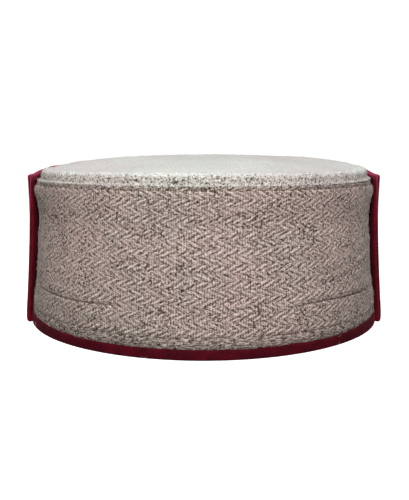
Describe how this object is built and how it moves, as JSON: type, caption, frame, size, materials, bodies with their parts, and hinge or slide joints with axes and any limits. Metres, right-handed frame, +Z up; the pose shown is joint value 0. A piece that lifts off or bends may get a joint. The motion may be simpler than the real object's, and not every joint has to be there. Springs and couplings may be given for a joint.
{
  "type": "himachali cap",
  "caption": "Round domed wool cap with an upright herringbone band, a bound hem and a stiff velvet flap turned up round its front half.",
  "frame": {"origin": "on the surface that the cap's rim stands on, under the middle of the whole cap; the axis of the round band is 1.65 mm behind it, at y = -0.00165", "axes": "+Z up through the crown, +Y to the front of the head, where the middle of the flap is, +X to the wearer's right; the plain woollen back faces -Y"},
  "size_m": [0.2028, 0.1991, 0.0935],
  "materials": {
    "pale_wool": "milled herringbone wool, pale on the crown",
    "herringbone_wool": "beige-grey handwoven herringbone wool",
    "maroon_binding": "dark maroon velvet strip, folded and stitched",
    "maroon_velvet": "maroon cotton velvet with a short pile"
  },
  "bodies": {
    "root": {"crown": "pale_wool", "side_band": "herringbone_wool", "hem_binding": "maroon_binding", "front_flap": "maroon_velvet"}
  },
  "joints": []
}
